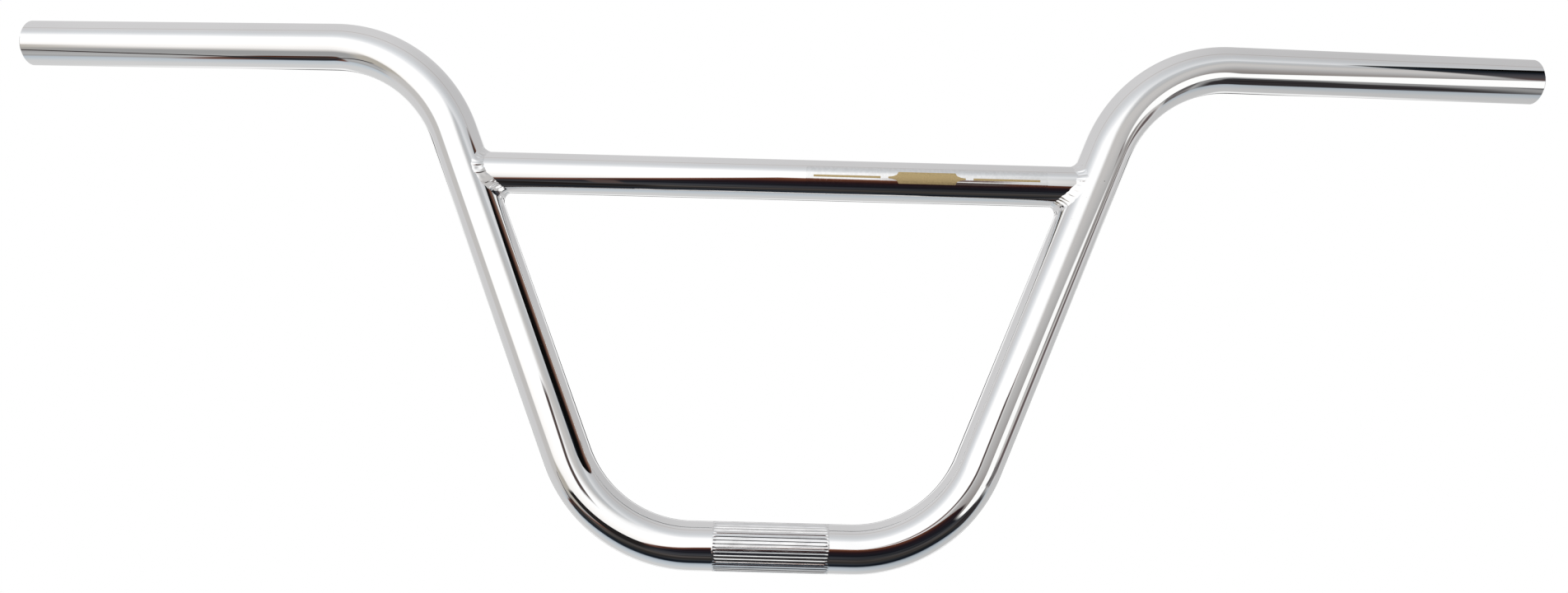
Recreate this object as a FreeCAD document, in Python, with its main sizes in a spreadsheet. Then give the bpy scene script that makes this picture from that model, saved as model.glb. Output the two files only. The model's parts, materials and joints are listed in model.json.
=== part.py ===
"""BMX handlebar: a bent, knurled main tube, a coped crossbar, its two fillet welds and a label film.

Millimetres and degrees. The origin is the centre of the stem clamp, +X runs along the clamp,
+Z is up and the rider is on the +Y side. The tube is laid out the way a bender makes it:
straight runs joined by bends of one radius each.
"""

import os

import FreeCAD
import Part
import Sketcher

# Driving dimensions: name and value.
SIZES = (
    # Main tube, between the centres of its two ends and up to the corner of its upper bends.
    ("tube_diameter", 22.2),
    ("tube_wall", 1.5),
    ("overall_width", 752),
    ("rise", 230),
    ("backsweep", 11),
    ("upsweep", 3),
    # The legs: their angle to the clamp, and the spacing of the corners where they leave it.
    ("leg_angle", 68),
    ("leg_spacing", 155),
    ("lower_bend_radius", 62),
    ("upper_bend_radius", 70),
    ("end_chamfer", 0.5),
    # Straight knurl rolled into the clamp, which raises its ridges above the tube.
    ("knurl_length", 52),
    ("knurl_rise", 0.05),
    ("knurl_count", 42),
    ("knurl_depth", 0.4),
    ("knurl_groove_angle", 90),
    ("knurl_overcut", 0.5),
    # Crossbar, by its distance down the legs from the start of the upper bends.
    ("crossbar_diameter", 19.05),
    ("crossbar_wall", 1),
    ("crossbar_below_bend", 18),
    ("weld_leg", 3),
    # Label film on the front of the crossbar, by its near end's distance from the middle.
    ("label_start", 12),
    ("label_length", 112),
    ("label_angle", 58),
    ("label_thickness", 0.1),
)

# Values worked out from the driving dimensions: name, kind and expression.
LAYOUT = (
    ("tube_radius", "Float", "Sizes.tube_diameter / 2"),
    ("knurl_radius", "Float", "tube_radius + Sizes.knurl_rise"),
    ("bore_radius", "Float", "tube_radius - Sizes.tube_wall"),
    ("crossbar_radius", "Float", "Sizes.crossbar_diameter / 2"),
    ("crossbar_bore_radius", "Float", "crossbar_radius - Sizes.crossbar_wall"),
    # The grip's direction, along each axis.
    ("grip_x", "Float", "cos(Sizes.backsweep) * cos(Sizes.upsweep)"),
    ("grip_y", "Float", "sin(Sizes.backsweep) * cos(Sizes.upsweep)"),
    ("grip_z", "Float", "sin(Sizes.upsweep)"),
    # The upper bend: its turn, and how far its plane is turned about the leg.
    ("upper_turn", "Angle", "acos(grip_x * cos(Sizes.leg_angle) + grip_z * sin(Sizes.leg_angle))"),
    (
        "upper_twist",
        "Angle",
        "atan2(-grip_y; grip_z * cos(Sizes.leg_angle) - grip_x * sin(Sizes.leg_angle))",
    ),
    # The length of tube that each bend takes from the runs beside it.
    ("lower_tangent", "Float", "Sizes.lower_bend_radius * tan(Sizes.leg_angle / 2)"),
    ("upper_tangent", "Float", "Sizes.upper_bend_radius * tan(upper_turn / 2)"),
    # The straight runs.
    ("clamp_length", "Float", "Sizes.leg_spacing - 2 * lower_tangent"),
    ("leg_length", "Float", "Sizes.rise / sin(Sizes.leg_angle) - lower_tangent - upper_tangent"),
    ("corner_x", "Float", "Sizes.leg_spacing / 2 + Sizes.rise / tan(Sizes.leg_angle)"),
    ("grip_length", "Float", "(Sizes.overall_width / 2 - corner_x) / grip_x - upper_tangent"),
    # The crossbar's axis, where it meets the axes of the legs.
    ("crossbar_up_leg", "Float", "lower_tangent + leg_length - Sizes.crossbar_below_bend"),
    ("crossbar_height", "Float", "crossbar_up_leg * sin(Sizes.leg_angle)"),
    ("crossbar_span", "Float", "Sizes.leg_spacing + 2 * crossbar_up_leg * cos(Sizes.leg_angle)"),
)

# Fixed turns: a primitive's own axis laid along +X, a bend's first section at the clamp's end,
# and the run that leaves a bend.
ALONG_X = "rotation(vector(0; 1; 0); 90)"
BEND_AT_CLAMP = "rotation(vector(1; 1; -1); 120)"
OUT_OF_BEND = "rotation(vector(0; 1; 1); 180)"
ORIGIN = "vector(0; 0; 0)"
LABEL_FRONT = "270"

doc = FreeCAD.newDocument("BmxHandlebar")


def add(kind, name, **expressions):
    """Adds an object to the document and binds its properties."""
    item = doc.addObject(kind, name)
    for name_of_property, expression in expressions.items():
        item.setExpression(name_of_property, expression)
    return item


def joined(kind, name, base, tool):
    """Adds a boolean of two objects."""
    item = doc.addObject(kind, name)
    item.Base = base
    item.Tool = tool
    item.Refine = True
    return item


def fused(name, shapes):
    """Adds the union of several objects."""
    item = doc.addObject("Part::MultiFuse", name)
    item.Shapes = shapes
    item.Refine = True
    return item


def mirrored(name, source):
    """Adds the left-hand copy of a right-hand object."""
    item = doc.addObject("Part::Mirroring", name)
    item.Source = source
    item.Base = FreeCAD.Vector(0, 0, 0)
    item.Normal = FreeCAD.Vector(1, 0, 0)
    return item


def about_axis(angle):
    """A turn about an object's own axis."""
    return f"rotation(vector(0; 0; 1); {angle})"


def placed(position, turn):
    """A placement, as an expression."""
    return f"placement({position}; {turn})"


def make_sheet():
    """The driving dimensions, one cell each."""
    sheet = doc.addObject("Spreadsheet::Sheet", "Sizes")
    for row, (name, value) in enumerate(SIZES, start=1):
        sheet.set(f"A{row}", name)
        sheet.set(f"B{row}", str(value))
        sheet.setAlias(f"B{row}", name)
    doc.recompute()
    return sheet


def make_layout():
    """The values that follow from the driving dimensions."""
    layout = doc.addObject("App::VarSet", "Layout")
    for name, kind, expression in LAYOUT:
        layout.addProperty(f"App::Property{kind}", name, "Layout", "")
        layout.setExpression(name, expression)
        doc.recompute()
    return layout


def attached_sketch(body, name, role):
    """A sketch on one of the body's own origin planes."""
    sketch = body.newObject("Sketcher::SketchObject", name)
    planes = [plane for plane in body.Origin.OriginFeatures if plane.Role == role]
    sketch.AttachmentSupport = [(planes[0], "")]
    sketch.MapMode = "FlatFace"
    return sketch


def add_round(body, name, diameter, length):
    """A round bar along X, centred on the body's origin."""
    section = attached_sketch(body, f"{name}Section", "YZ_Plane")
    section.addGeometry(Part.Circle(), False)
    section.addConstraint(Sketcher.Constraint("Coincident", 0, 3, -1, 1))
    across = section.addConstraint(Sketcher.Constraint("Diameter", 0, SHEET.tube_diameter))
    section.setExpression(f"Constraints[{across}]", diameter)
    run = body.newObject("PartDesign::Pad", name)
    run.Profile = section
    run.SideType = "Symmetric"
    run.setExpression("Length", length)
    doc.recompute()


def make_clamp():
    """The straight run in the middle, with its straight knurl."""
    body = doc.addObject("PartDesign::Body", "Clamp")
    add_round(body, "ClampRun", "Sizes.tube_diameter", "Layout.clamp_length")
    add_round(body, "KnurlBand", "2 * Layout.knurl_radius", "Sizes.knurl_length")

    groove_sketch = attached_sketch(body, "KnurlGrooveSection", "YZ_Plane")
    root = LAYOUT_VALUES.knurl_radius - SHEET.knurl_depth
    height = SHEET.knurl_depth + SHEET.knurl_overcut
    corners = (
        FreeCAD.Vector(-height, root + height, 0),
        FreeCAD.Vector(height, root + height, 0),
        FreeCAD.Vector(0, root, 0),
    )
    for start, end in ((0, 1), (1, 2), (2, 0)):
        groove_sketch.addGeometry(Part.LineSegment(corners[start], corners[end]), False)
    for line, following in ((0, 1), (1, 2), (2, 0)):
        groove_sketch.addConstraint(Sketcher.Constraint("Coincident", line, 2, following, 1))
    groove_sketch.addConstraint(Sketcher.Constraint("Symmetric", 0, 1, 0, 2, -2))
    groove_sketch.addConstraint(Sketcher.Constraint("PointOnObject", 1, 2, -2))
    bound = (
        (("DistanceY", -1, 1, 1, 2, root), "Layout.knurl_radius - Sizes.knurl_depth"),
        (("DistanceY", 1, 2, 0, 2, height), "Sizes.knurl_depth + Sizes.knurl_overcut"),
    )
    for constraint, expression in bound:
        index = groove_sketch.addConstraint(Sketcher.Constraint(*constraint))
        groove_sketch.setExpression(f"Constraints[{index}]", expression)
    across = groove_sketch.addConstraint(Sketcher.Constraint("DistanceX", 0, 1, 0, 2, 2 * height))
    groove_sketch.setExpression(
        f"Constraints[{across}]",
        "2 * (Sizes.knurl_depth + Sizes.knurl_overcut) * tan(Sizes.knurl_groove_angle / 2)",
    )
    groove = body.newObject("PartDesign::Pocket", "KnurlGroove")
    groove.Profile = groove_sketch
    groove.SideType = "Symmetric"
    groove.setExpression("Length", "Sizes.knurl_length")
    doc.recompute()

    knurl = body.newObject("PartDesign::PolarPattern", "Knurl")
    knurl.Originals = [groove]
    axes = [axis for axis in body.Origin.OriginFeatures if axis.Role == "X_Axis"]
    knurl.Axis = (axes[0], [""])
    knurl.Angle = 360
    knurl.setExpression("Occurrences", "Sizes.knurl_count")
    body.Tip = knurl
    doc.recompute()
    return body


def make_half(name, radius, end_chamfer):
    """The right-hand runs and bends of one radius, in the order that the tube is bent."""
    lower_bend = add(
        "Part::Torus",
        f"{name}LowerBend",
        Radius1="Sizes.lower_bend_radius",
        Radius2=radius,
        Angle3="Sizes.leg_angle",
        Placement=placed("vector(Layout.clamp_length / 2; 0; Sizes.lower_bend_radius)", BEND_AT_CLAMP),
    )
    leg = add(
        "Part::Cylinder",
        f"{name}Leg",
        Radius=radius,
        Height="Layout.leg_length",
        Placement=" * ".join(
            (
                f"{lower_bend.Name}.Placement",
                placed(ORIGIN, about_axis("Sizes.leg_angle")),
                placed("vector(Sizes.lower_bend_radius; 0; 0)", OUT_OF_BEND),
            )
        ),
    )
    upper_bend = add(
        "Part::Torus",
        f"{name}UpperBend",
        Radius1="Sizes.upper_bend_radius",
        Radius2=radius,
        Angle3="Layout.upper_turn",
        Placement=" * ".join(
            (
                f"{leg.Name}.Placement",
                placed("vector(0; 0; Layout.leg_length)", about_axis("Layout.upper_twist")),
                placed("vector(Sizes.upper_bend_radius; 0; 0)", OUT_OF_BEND),
            )
        ),
    )
    grip = add(
        "Part::Cylinder",
        f"{name}Grip",
        Radius=radius,
        Height=f"Layout.grip_length - {end_chamfer}",
        Placement=" * ".join(
            (
                f"{upper_bend.Name}.Placement",
                placed(ORIGIN, about_axis("Layout.upper_turn")),
                placed("vector(Sizes.upper_bend_radius; 0; 0)", OUT_OF_BEND),
            )
        ),
    )
    return [lower_bend, leg, upper_bend, grip]


def make_main_tube(clamp):
    """The outside and the bore of the bent tube. Returns the tube, its outside and its right leg."""
    runs = make_half("Tube", "Layout.tube_radius", "Sizes.end_chamfer")
    grip = runs[-1]
    end = add(
        "Part::Cone",
        "TubeEnd",
        Radius1="Layout.tube_radius",
        Radius2="Layout.tube_radius - Sizes.end_chamfer",
        Height="Sizes.end_chamfer",
        Placement=f"{grip.Name}.Placement * " + placed(f"vector(0; 0; {grip.Name}.Height)", about_axis(0)),
    )
    half = fused("TubeHalf", [*runs, end])
    outside = fused("TubeOutside", [clamp, half, mirrored("TubeHalfLeft", half)])

    clamp_bore = add(
        "Part::Cylinder",
        "BoreClamp",
        Radius="Layout.bore_radius",
        Height="Layout.clamp_length",
        Placement=placed("vector(-Layout.clamp_length / 2; 0; 0)", ALONG_X),
    )
    bore_half = fused("BoreHalf", make_half("Bore", "Layout.bore_radius", "0"))
    bore = fused("Bore", [clamp_bore, bore_half, mirrored("BoreHalfLeft", bore_half)])
    return joined("Part::Cut", "MainTube", outside, bore), outside, runs[1]


def make_crossbar(tube_outside):
    """The crossbar, coped at both ends to the outside of the main tube. Returns it and its stock."""
    at_left_leg = placed("vector(-Layout.crossbar_span / 2; 0; Layout.crossbar_height)", ALONG_X)
    stock = add(
        "Part::Cylinder",
        "CrossbarStock",
        Radius="Layout.crossbar_radius",
        Height="Layout.crossbar_span",
        Placement=at_left_leg,
    )
    bore = add(
        "Part::Cylinder",
        "CrossbarBore",
        Radius="Layout.crossbar_bore_radius",
        Height="Layout.crossbar_span",
        Placement=at_left_leg,
    )
    pipe = joined("Part::Cut", "CrossbarPipe", stock, bore)
    return joined("Part::Cut", "Crossbar", pipe, tube_outside), stock


def make_weld(leg, crossbar_stock):
    """The right-hand weld: the corner between the leg and the crossbar, filled all round."""
    corner = joined("Part::Fuse", "WeldCorner", leg, crossbar_stock)
    doc.recompute()
    seams = [
        number
        for number, edge in enumerate(corner.Shape.Edges, start=1)
        if isinstance(edge.Curve, Part.BSplineCurve)
    ]
    filled = doc.addObject("Part::Chamfer", "WeldFilled")
    filled.Base = corner
    filled.Edges = [(number, SHEET.weld_leg, SHEET.weld_leg) for number in seams]
    return joined("Part::Cut", "Weld", filled, corner)


def make_label():
    """The thin film on the front of the crossbar."""
    placement = " * ".join(
        (
            placed("vector(Sizes.label_start; 0; Layout.crossbar_height)", ALONG_X),
            placed(ORIGIN, about_axis(f"{LABEL_FRONT} - Sizes.label_angle / 2")),
        )
    )
    sector = {"Height": "Sizes.label_length", "Angle": "Sizes.label_angle", "Placement": placement}
    outside = add(
        "Part::Cylinder",
        "LabelOutside",
        Radius="Layout.crossbar_radius + Sizes.label_thickness",
        **sector,
    )
    inside = add("Part::Cylinder", "LabelInside", Radius="Layout.crossbar_radius", **sector)
    return joined("Part::Cut", "Label", outside, inside)


def write_parts(parts):
    """Checks the whole document and writes each sub-part."""
    for name, item in parts.items():
        item.Label = name
    doc.recompute()
    for item in doc.Objects:
        if "Invalid" in item.State or "Error" in item.State:
            raise RuntimeError(f"{item.Name} did not compute: {item.State}")
    for name, item in parts.items():
        if item.Shape.isNull() or not item.Shape.isValid() or len(item.Shape.Solids) != 1:
            raise RuntimeError(f"{name} is not one valid solid")
    os.makedirs("parts", exist_ok=True)
    for name, item in parts.items():
        item.Shape.exportStep(f"parts/{name}.step")


SHEET = make_sheet()
LAYOUT_VALUES = make_layout()
main_tube, outside_of_tube, right_leg = make_main_tube(make_clamp())
crossbar, stock_of_crossbar = make_crossbar(outside_of_tube)
right_weld = make_weld(right_leg, stock_of_crossbar)
write_parts(
    {
        "main_tube": main_tube,
        "crossbar": crossbar,
        "right_weld": right_weld,
        "left_weld": mirrored("WeldLeft", right_weld),
        "label_film": make_label(),
    }
)
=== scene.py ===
"""Chromed handlebar: the bent main tube, the crossbar, its two weld beads and its label film.

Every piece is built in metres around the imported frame. The origin is the middle of the
knurled clamp, +X is the rider's right, +Y is towards the rider and +Z is up.
"""

import json
from math import atan2, ceil, cos, pi, radians, sin, sqrt, tan

import bmesh
import bpy
from bpy.props import FloatProperty, FloatVectorProperty, IntProperty, PointerProperty
from mathutils import Matrix, Quaternion, Vector, noise


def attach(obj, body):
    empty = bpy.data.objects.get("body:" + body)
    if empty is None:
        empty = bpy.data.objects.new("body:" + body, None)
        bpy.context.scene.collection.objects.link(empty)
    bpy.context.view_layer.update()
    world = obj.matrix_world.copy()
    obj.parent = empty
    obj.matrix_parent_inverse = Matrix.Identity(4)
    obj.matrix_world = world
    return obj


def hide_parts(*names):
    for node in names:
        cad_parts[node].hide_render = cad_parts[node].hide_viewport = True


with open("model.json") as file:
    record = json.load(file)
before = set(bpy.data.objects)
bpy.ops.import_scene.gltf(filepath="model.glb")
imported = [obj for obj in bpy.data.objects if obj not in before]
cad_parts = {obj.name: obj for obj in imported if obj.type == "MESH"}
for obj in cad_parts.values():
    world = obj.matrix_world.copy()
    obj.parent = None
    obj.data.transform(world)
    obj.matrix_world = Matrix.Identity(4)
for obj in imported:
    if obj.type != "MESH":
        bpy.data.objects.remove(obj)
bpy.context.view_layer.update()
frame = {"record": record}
MOUNTS = {mount["name"]: mount for mount in frame["record"]["mounts"]}

bl_info = {
    "name": "Chromed Handlebar",
    "version": (1, 0, 0),
    "blender": (4, 5, 0),
    "location": "View3D > Sidebar > Handlebar",
    "description": "Builds a bent and welded handlebar with a crossbar, chromed all over",
    "category": "Add Mesh",
}

# How finely the meshes are divided.
POINTS_PER_RIDGE = 5
RINGS_PER_BEND = 30
BORE_RINGS_PER_BEND = 12
CROSSBAR_POINTS = 144
BEAD_STATIONS = 288
BEAD_POINTS = 12
FILM_ROWS = 14

# Rings of the knurl stand this close, and its ends step down to the tube over this length.
KNURL_RING_SPACING = 0.0013
KNURL_STEP = 0.0002

# A straight run keeps its true shading when a ring stands this close to each bend.
HOLDING_RUN = 0.002


def mount_size(mount, dimension):
    """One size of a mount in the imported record, in metres."""
    return MOUNTS[mount]["dims"][dimension] / 1000


def length(name, description, default):
    return FloatProperty(
        name=name, description=description, default=default, min=0.0, precision=5, unit="LENGTH"
    )


def angle(name, description, default):
    return FloatProperty(
        name=name, description=description, default=radians(default), unit="ROTATION"
    )


def colour(name, description, default):
    return FloatVectorProperty(
        name=name, description=description, default=default, subtype="COLOR", min=0.0, max=1.0
    )


def factor(name, description, default):
    return FloatProperty(
        name=name, description=description, default=default, min=0.0, max=1.0, subtype="FACTOR"
    )


class HandlebarSizes(bpy.types.PropertyGroup):
    """Sizes of the handlebar's pieces."""

    tube_diameter: length(
        "Tube diameter", "Outside of the main tube", 2 * mount_size("stem_clamp", "r_mm")
    )
    bore_diameter: length(
        "Bore diameter", "Inside of the main tube", 2 * mount_size("right_end_bore", "r_mm")
    )
    overall_width: length("Overall width", "Between the centres of the two ends", 0.752)
    rise: length("Rise", "From the clamp up to the corners of the upper bends", 0.230)
    leg_spacing: length("Leg spacing", "Between the corners of the lower bends", 0.155)
    leg_angle: angle("Leg angle", "How steeply the legs stand", 68)
    backsweep: angle("Backsweep", "How far the grips turn towards the rider", 11)
    upsweep: angle("Upsweep", "How far the grips turn up", 3)
    lower_bend: length("Lower bend radius", "Radius of the bends beside the clamp", 0.062)
    upper_bend: length("Upper bend radius", "Radius of the bends under the grips", 0.070)
    end_chamfer: length("End chamfer", "Chamfer round each open end", 0.0005)
    knurl_length: length("Knurl length", "How far the knurling runs along the clamp", 0.052)
    knurl_count: IntProperty(
        name="Knurl ridges", description="Ridges round the clamp", default=42, min=3
    )
    knurl_rise: length("Knurl rise", "How far the ridges stand above the tube", 0.00005)
    knurl_depth: length("Knurl depth", "Depth of the grooves between the ridges", 0.00026)
    knurl_runout: length("Knurl run-out", "Length over which each groove ends", 0.0009)
    crossbar_diameter: length("Crossbar diameter", "Outside of the crossbar", 0.01905)
    crossbar_wall: length("Crossbar wall", "Thickness of the crossbar's wall", 0.001)
    crossbar_drop: length(
        "Crossbar drop", "From the start of the upper bends down to the crossbar", 0.018
    )
    bead_on_crossbar: length("Bead on crossbar", "Width of the bead on the crossbar", 0.0033)
    bead_on_leg: length("Bead on leg", "Width of the bead on the leg", 0.0026)
    bead_hollow: factor("Bead hollow", "How hollow the bead is above and below", 0.55)
    ripple_pitch: length("Ripple pitch", "Distance between the ripples of a bead", 0.0040)
    ripple_height: length("Ripple height", "How high the ripples stand", 0.00045)
    film_start: length("Film start", "From the middle of the crossbar to the film", 0.012)
    film_length: length("Film length", "Length of the label film", 0.112)
    film_wrap: angle("Film wrap", "How far the film goes round the crossbar", 58)
    film_corner: length("Film corner", "Radius of the film's corners", 0.0012)
    film_thickness: length("Film thickness", "Thickness of the label film", 0.0001)
    print_thickness: length("Print thickness", "Thickness of the ink on the film", 0.00002)
    print_margin: length("Print margin", "Clear film round the ends of the printed lines", 0.0035)
    plate_length: length("Plate length", "Length of the printed plate", 0.036)
    plate_height: length("Plate height", "Height of the printed plate", 0.0056)
    plate_point: length("Plate point", "Length of each pointed end of the plate", 0.005)
    line_width: length("Line width", "Width of the printed lines", 0.0010)


class HandlebarFinish(bpy.types.PropertyGroup):
    """Colours and polish of the handlebar's finishes."""

    chrome: colour("Chrome", "Bright chrome plate", (0.955, 0.955, 0.957))
    chrome_roughness: factor("Chrome roughness", "Polish of the tubes", 0.015)
    bead_roughness: factor("Bead roughness", "Polish of the weld beads", 0.03)
    knurl: colour("Knurl", "Plate in the rolled knurling", (0.90, 0.90, 0.905))
    bore: colour("Bore", "Bare steel inside the tubes", (0.20, 0.19, 0.18))
    film: colour("Film", "Silver label film", (0.90, 0.90, 0.90))
    ink: colour("Ink", "Gold ink on the film", (0.50, 0.38, 0.19))


class HandlebarStudio(bpy.types.PropertyGroup):
    """Camera, floor and light of the studio."""

    camera_place: FloatVectorProperty(
        name="Camera place",
        description="Where the camera stands",
        default=(0.001677, -0.708561, -0.010683),
        subtype="TRANSLATION",
        unit="LENGTH",
    )
    pan: angle("Pan", "How far the camera turns to the right", 0.126)
    tilt: angle("Tilt", "How far the camera looks up", 10.04)
    roll: angle("Roll", "How far the camera leans", 1.457)
    lens: FloatProperty(
        name="Lens", description="Focal length", default=35.721, unit="CAMERA", min=1.0
    )
    floor_drop: length("Floor drop", "From the clamp's middle down to the floor", 0.05)
    floor_radius: length("Floor radius", "Radius of the round floor", 1.1)
    mat_drop: length("Mat drop", "From the clamp's middle down to the dark mat", 0.35)
    floor: colour("Floor", "Pale floor", (0.86, 0.86, 0.855))
    fill: factor("Fill light", "Brightness of the surrounding light", 0.75)


# Node helpers.


def add_node(tree, kind, inputs=None, **settings):
    """A shader node with its settings made, and its inputs set or linked."""
    made = tree.nodes.new(kind)
    for setting, value in settings.items():
        setattr(made, setting, value)
    for socket, value in (inputs or {}).items():
        if isinstance(value, bpy.types.NodeSocket):
            tree.links.new(value, made.inputs[socket])
        else:
            made.inputs[socket].default_value = value
    return made


def add_ramp(tree, driver, stops):
    """A colour ramp on a 0 to 1 value, from (place, colour) stops."""
    made = add_node(tree, "ShaderNodeValToRGB", {"Fac": driver})
    points = made.color_ramp.elements
    while len(points) < len(stops):
        points.new(1.0)
    for point, (place, shade) in zip(points, stops):
        point.position = place
        point.color = (*shade, 1.0)
    return made.outputs["Color"]


def add_value_ramp(tree, value, limits, stops):
    """A colour ramp on a value between two limits, with its stops in the value's own unit."""
    low, high = limits
    driver = remap(tree, value, (low, high), (0.0, 1.0), "LINEAR")
    return add_ramp(tree, driver, [((at - low) / (high - low), shade) for at, shade in stops])


def calculate(tree, operation, first, second=0.0):
    made = add_node(tree, "ShaderNodeMath", {0: first, 1: second}, operation=operation)
    return made.outputs["Value"]


def remap(tree, value, from_range, to_range, interpolation="SMOOTHSTEP"):
    made = add_node(
        tree,
        "ShaderNodeMapRange",
        {
            "Value": value,
            "From Min": from_range[0],
            "From Max": from_range[1],
            "To Min": to_range[0],
            "To Max": to_range[1],
        },
        interpolation_type=interpolation,
    )
    return made.outputs["Result"]


def fade_in(tree, value, start, end):
    """0 up to the start and 1 from the end on, soft between."""
    return remap(tree, value, (start, end), (0.0, 1.0))


def fade_out(tree, value, start, end):
    """1 up to the start and 0 from the end on, soft between."""
    return remap(tree, value, (start, end), (1.0, 0.0))


def overlap(tree, first, *others):
    """Where all the covers hold: their product."""
    for other in others:
        first = calculate(tree, "MULTIPLY", first, other)
    return first


def either(tree, first, *others):
    """Where any of the covers holds: the largest of them."""
    for other in others:
        first = calculate(tree, "MAXIMUM", first, other)
    return first


def soft_band(tree, value, low, high, soft):
    """1 between low and high, with soft edges, and 0 outside."""
    up = fade_in(tree, value, low - soft, low + soft)
    down = fade_out(tree, value, high - soft, high + soft)
    return overlap(tree, up, down)


def mix_colours(tree, amount, first, second):
    made = add_node(
        tree, "ShaderNodeMix", {"Factor": amount, 6: first, 7: second}, data_type="RGBA"
    )
    return made.outputs[2]


def grey(level):
    return (level, level, level)


def shaded(shade, level):
    return tuple(channel * level for channel in shade)


def new_material(name):
    """A material, its tree, its principled shader and the object's own coordinates."""
    material = bpy.data.materials.new(name)
    material.use_nodes = True
    tree = material.node_tree
    shader = tree.nodes["Principled BSDF"]
    place = add_node(tree, "ShaderNodeTexCoord").outputs["Object"]
    return material, tree, shader, place


def add_noise(tree, place, scale, detail):
    made = add_node(
        tree, "ShaderNodeTexNoise", {"Vector": place, "Scale": scale, "Detail": detail}
    )
    return made.outputs["Fac"]


def add_bump(tree, shader, height, strength, distance):
    bump = add_node(
        tree,
        "ShaderNodeBump",
        {"Height": height, "Strength": strength, "Distance": distance},
    )
    tree.links.new(bump.outputs["Normal"], shader.inputs["Normal"])


# Finishes.


def chrome_finish(name, plate, roughness, grain):
    """Bright plate: faint clouding, a few pin pits, and a skin that is almost flat."""
    material, tree, shader, place = new_material(name)
    shader.inputs["Metallic"].default_value = 1.0
    clouds = add_noise(tree, place, scale=11.0, detail=3.0)
    tint = add_ramp(tree, clouds, [(0.30, shaded(plate, 0.95)), (0.65, plate)])
    cells = add_node(
        tree, "ShaderNodeTexVoronoi", {"Vector": place, "Scale": 210.0}
    ).outputs["Distance"]
    spots = fade_out(tree, cells, 0.03, 0.09)
    patches = fade_in(tree, add_noise(tree, place, scale=16.0, detail=1.0), 0.62, 0.72)
    pits = overlap(tree, spots, patches)
    pitted = mix_colours(tree, pits, tint, (*shaded(plate, 0.45), 1.0))
    tree.links.new(pitted, shader.inputs["Base Color"])
    smears = add_noise(tree, place, scale=38.0, detail=4.0)
    polish = remap(tree, smears, (0.35, 0.75), (roughness * 0.6, roughness * 1.7))
    tree.links.new(polish, shader.inputs["Roughness"])
    skin = add_noise(tree, place, scale=260.0, detail=2.0)
    height = calculate(tree, "SUBTRACT", skin, pits)
    add_bump(tree, shader, height, strength=grain, distance=0.00002)
    return material


def knurl_finish(name, plate):
    """Plate over rolled ridges: bright, with a little dulling along each ridge."""
    material, tree, shader, place = new_material(name)
    shader.inputs["Metallic"].default_value = 1.0
    stretched = add_node(
        tree, "ShaderNodeMapping", {"Vector": place, "Scale": (0.2, 1.0, 1.0)}
    ).outputs["Vector"]
    scuffs = add_noise(tree, stretched, scale=700.0, detail=3.0)
    tint = add_ramp(tree, scuffs, [(0.30, shaded(plate, 0.88)), (0.55, plate)])
    tree.links.new(tint, shader.inputs["Base Color"])
    polish = remap(tree, scuffs, (0.3, 0.7), (0.20, 0.10))
    tree.links.new(polish, shader.inputs["Roughness"])
    add_bump(tree, shader, scuffs, strength=0.01, distance=0.00001)
    return material


def bore_finish(name, steel):
    """Bare drawn steel with lengthwise streaks and a dull brown bloom."""
    material, tree, shader, place = new_material(name)
    shader.inputs["Metallic"].default_value = 0.85
    streaks = add_noise(tree, place, scale=420.0, detail=3.0)
    tint = add_ramp(
        tree, streaks, [(0.30, shaded(steel, 0.55)), (0.55, steel), (0.75, (0.24, 0.19, 0.15))]
    )
    tree.links.new(tint, shader.inputs["Base Color"])
    tree.links.new(remap(tree, streaks, (0.3, 0.7), (0.38, 0.6)), shader.inputs["Roughness"])
    add_bump(tree, shader, streaks, strength=0.3, distance=0.0001)
    return material


def film_finish(name, film):
    """Silver film: softer than the plate, with a fine grain under a clear coat."""
    material, tree, shader, place = new_material(name)
    shader.inputs["Metallic"].default_value = 1.0
    shader.inputs["Coat Weight"].default_value = 0.35
    shader.inputs["Coat Roughness"].default_value = 0.06
    fibre = add_noise(tree, place, scale=700.0, detail=2.0)
    tint = add_ramp(tree, fibre, [(0.35, shaded(film, 0.93)), (0.65, film)])
    tree.links.new(tint, shader.inputs["Base Color"])
    tree.links.new(remap(tree, fibre, (0.3, 0.7), (0.04, 0.07)), shader.inputs["Roughness"])
    add_bump(tree, shader, fibre, strength=0.02, distance=0.00002)
    return material


def ink_finish(name, ink):
    """Gold ink: a fine metal flake with a satin sheen."""
    material, tree, shader, place = new_material(name)
    shader.inputs["Metallic"].default_value = 0.75
    flake = add_noise(tree, place, scale=2600.0, detail=2.0)
    tint = add_ramp(tree, flake, [(0.35, shaded(ink, 0.82)), (0.65, shaded(ink, 1.12))])
    tree.links.new(tint, shader.inputs["Base Color"])
    tree.links.new(remap(tree, flake, (0.3, 0.7), (0.34, 0.46)), shader.inputs["Roughness"])
    add_bump(tree, shader, flake, strength=0.1, distance=0.00002)
    return material


def floor_finish(name, pale):
    """Pale matt floor with a trace of mottle, which fades out towards its rim."""
    material, tree, shader, place = new_material(name)
    radius = add_node(
        tree, "ShaderNodeVectorMath", {0: place}, operation="LENGTH"
    ).outputs["Value"]
    tree.links.new(fade_out(tree, radius, 0.30, 0.95), shader.inputs["Alpha"])
    mottle = add_noise(tree, place, scale=6.0, detail=4.0)
    tint = add_ramp(tree, mottle, [(0.3, shaded(pale, 0.985)), (0.7, pale)])
    tree.links.new(tint, shader.inputs["Base Color"])
    tree.links.new(remap(tree, mottle, (0.3, 0.7), (0.7, 0.8)), shader.inputs["Roughness"])
    grit = add_noise(tree, place, scale=300.0, detail=2.0)
    add_bump(tree, shader, grit, strength=0.05, distance=0.0005)
    return material


# Mesh helpers.


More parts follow.
